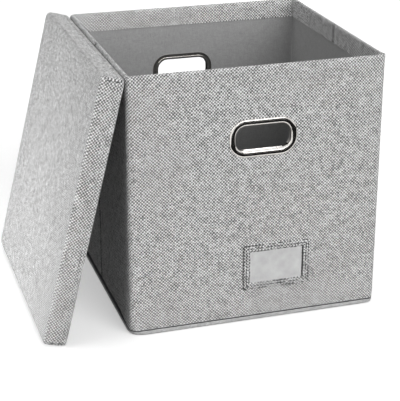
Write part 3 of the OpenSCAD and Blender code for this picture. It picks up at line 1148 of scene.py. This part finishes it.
def buildRing(name, side):
    deep = ring["depth"] + ring["endThick"]
    obj = roundBox(name, ring["width"], ring["height"], 0, ring["foot"], ring["radius"], ring["segments"])
    choose("FACE", lambda f: f.normal.z > 0.9)
    rollOver(ring["flange"] / 2, pi, ring["domeSteps"], 1, ring["dome"])
    pullLoop(-deep - ring["foot"], 2)
    dropFaces()
    choose("FACE", lambda f: f.normal.z < -0.9)
    stepInset(ring["flange"] - ring["barrel"], 0)
    pullLoop(-ring["depth"], 2)
    dropFaces()
    doneEditing()
    grow = 2 * (ring["rolled"] - ring["flange"])
    bend = ring["endThick"] * 0.45
    end = roundBox("rolledEnd", ring["width"] + grow, ring["height"] + grow, -deep, -ring["depth"],
                   ring["radius"] + grow / 2, ring["segments"])
    roundEdges(bend, 3, -deep, -ring["depth"])
    openFaces(lambda f: f.normal.z > 0.99, ring["rolled"] - ring["barrel"] - bend)
    openFaces(lambda f: f.normal.z < -0.99, ring["rolled"] - bend)
    doneEditing()
    only(obj)
    end.select_set(True)
    bpy.ops.object.join()
    edit(obj)
    selectAll()
    bpy.ops.mesh.remove_doubles(threshold=ring["weld"])
    closeMesh()
    turn = Matrix.Rotation(radians(90 + 90 * side), 4, "Z") @ Matrix.Rotation(radians(90), 4, "X")
    place = Vector((-side * handle["x"], side * halfDepth, handle["z"]))
    return smooth(obj, 50, Matrix.Translation(place) @ turn)


for word, side in (("front", -1), ("back", 1)):
    settle(buildRing(word + "Ring", side), "case", "bright_metal", metalFinish, word + "_handle_ring")
print("handle rings made")

# CAD pieces that keep their shape

for name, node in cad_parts.items():
    if "handle" in name:
        dress(node, metalFinish)
    elif name.endswith("board"):
        dress(node, boardFinish)

# Floor, backdrop light and camera

studio = dict(
    floorSize=16, floorColour=0.90, floorLift=0.40, floorBounce=0.15, ambient=0.16,
    suns=dict(
        key=dict(towards=(-0.86, -0.12, 0.50), energy=0.60, angle=35),
        fill=dict(towards=(0.25, -0.90, 0.38), energy=2.5, angle=50),
        back=dict(towards=(0.66, 0.74, 0.12), energy=1.8, angle=50),
        top=dict(towards=(0.0, 0.0, 1.0), energy=0.45, angle=70),
    ),
    low=dict(place=(-0.78, 0.05, 0.03), towards=(-0.24, 0.0, 0.03), size=0.4, energy=5.0),
    flag=dict(x=0.93, width=2.5, near=0.36, far=2.6, top=2.0),
)


def seenDirectly(tree):
    ray = addNode(tree, "LightPath").outputs
    shown = mathNode(tree, "MAXIMUM", ray["Is Camera Ray"], ray["Is Transmission Ray"])
    return mathNode(tree, "MAXIMUM", shown, ray["Is Glossy Ray"])


def splitLook(tree, bounced, seen, output):
    # One look for light that bounces, and another for what is seen or mirrored
    mix = addNode(tree, "MixShader", {0: seenDirectly(tree), 1: bounced.outputs[0], 2: seen.outputs[0]})
    link(tree, mix.outputs[0], tree.nodes[output].inputs[0])


def buildFloor():
    bpy.ops.mesh.primitive_plane_add(size=studio["floorSize"])
    obj = named("studioFloor")
    level = studio["floorColour"]
    finish, tree, shader = makePaperFinish("paperFloor", 60.0, level - 0.01, level + 0.01)
    lift = addNode(tree, "Emission", {0: (1, 1, 1, 1), 1: studio["floorLift"]})
    paper = addNode(tree, "AddShader", {0: shader.outputs[0], 1: lift.outputs[0]})
    dull = addNode(tree, "BsdfDiffuse", {0: (*(studio["floorBounce"],) * 3, 1)})
    splitLook(tree, dull, paper, "Material Output")
    dress(obj, finish)


def addLamp(name, kind, towards, **settings):
    light = configure(bpy.data.lights.new(name + "Light", kind), **settings)
    lamp = bpy.data.objects.new(name + "Light", light)
    lamp.rotation_euler = Vector(towards).to_track_quat("Z", "Y").to_euler()
    bpy.context.scene.collection.objects.link(lamp)
    return lamp


def lightUp():
    for name, sun in studio["suns"].items():
        addLamp(name, "SUN", sun["towards"], energy=sun["energy"], angle=radians(sun["angle"]))
    low = studio["low"]
    away = Vector(low["place"]) - Vector(low["towards"])
    lamp = addLamp("low", "AREA", away, energy=low["energy"], size=low["size"])
    lamp.location = low["place"]
    lamp.visible_camera = False
    world = bpy.data.worlds.new("studioRoom")
    bpy.context.scene.world = world
    world.use_nodes = True
    tree = world.node_tree
    room = tree.nodes["Background"]
    room.inputs[0].default_value = (1, 1, 1, 1)
    room.inputs[1].default_value = studio["ambient"]
    splitLook(tree, room, addNode(tree, "Background", {0: (1, 1, 1, 1), 1: 1.0}), "World Output")


view = dict(eye=(-0.5290, -1.6076, 0.7987), yaw=17.986, pitch=21.785, roll=0.298,
            focal=1306.4, longSide=401, middle=(200.0, 200.5), aim=(213.7, 190.7))


def placeCamera():
    yaw, pitch, roll = (radians(view[k]) for k in ("yaw", "pitch", "roll"))
    forward = Vector((sin(yaw) * cos(pitch), cos(yaw) * cos(pitch), -sin(pitch)))
    right = Vector((cos(yaw), -sin(yaw), 0))
    up = right.cross(forward)
    level = cos(roll) * right + sin(roll) * up
    above = -sin(roll) * right + cos(roll) * up
    (x, y), (aimX, aimY) = view["middle"], view["aim"]
    data = configure(bpy.data.cameras.new("camera"), sensor_fit="AUTO", sensor_width=36, clip_end=50,
                     lens=view["focal"] * 36 / view["longSide"],
                     shift_x=(x - aimX) / view["longSide"], shift_y=(aimY - y) / view["longSide"])
    camera = bpy.data.objects.new("camera", data)
    camera.matrix_world = Matrix.Translation(view["eye"]) @ Matrix((level, above, -forward)).transposed().to_4x4()
    bpy.context.scene.collection.objects.link(camera)
    bpy.context.scene.camera = camera


def buildFlags():
    # Black cards before and behind, flat and upright, which only shiny metal sees
    finish = makePaperFinish("blackCard", 20.0, 0.01, 0.02)[0]
    values = studio["flag"]
    width, length, top = values["width"], values["far"] - values["near"], values["top"]
    for word, side in (("Front", -1), ("Back", 1)):
        x = -side * values["x"]
        cards = {"floorCard": ((width, length, 0.002), (x, side * (values["near"] + length / 2), 0.003)),
                 "uprightCard": ((width, 0.004, top), (x, side * values["far"], top / 2))}
        for name, (size, centre) in cards.items():
            obj = newBox(name + word, size, centre)
            dress(obj, finish)
            obj.visible_camera = obj.visible_diffuse = obj.visible_shadow = False
            obj.visible_transmission = obj.visible_volume_scatter = False


buildFloor()
buildFlags()
lightUp()
placeCamera()
bpy.context.scene.view_settings.view_transform = "Standard"
print("studio ready")
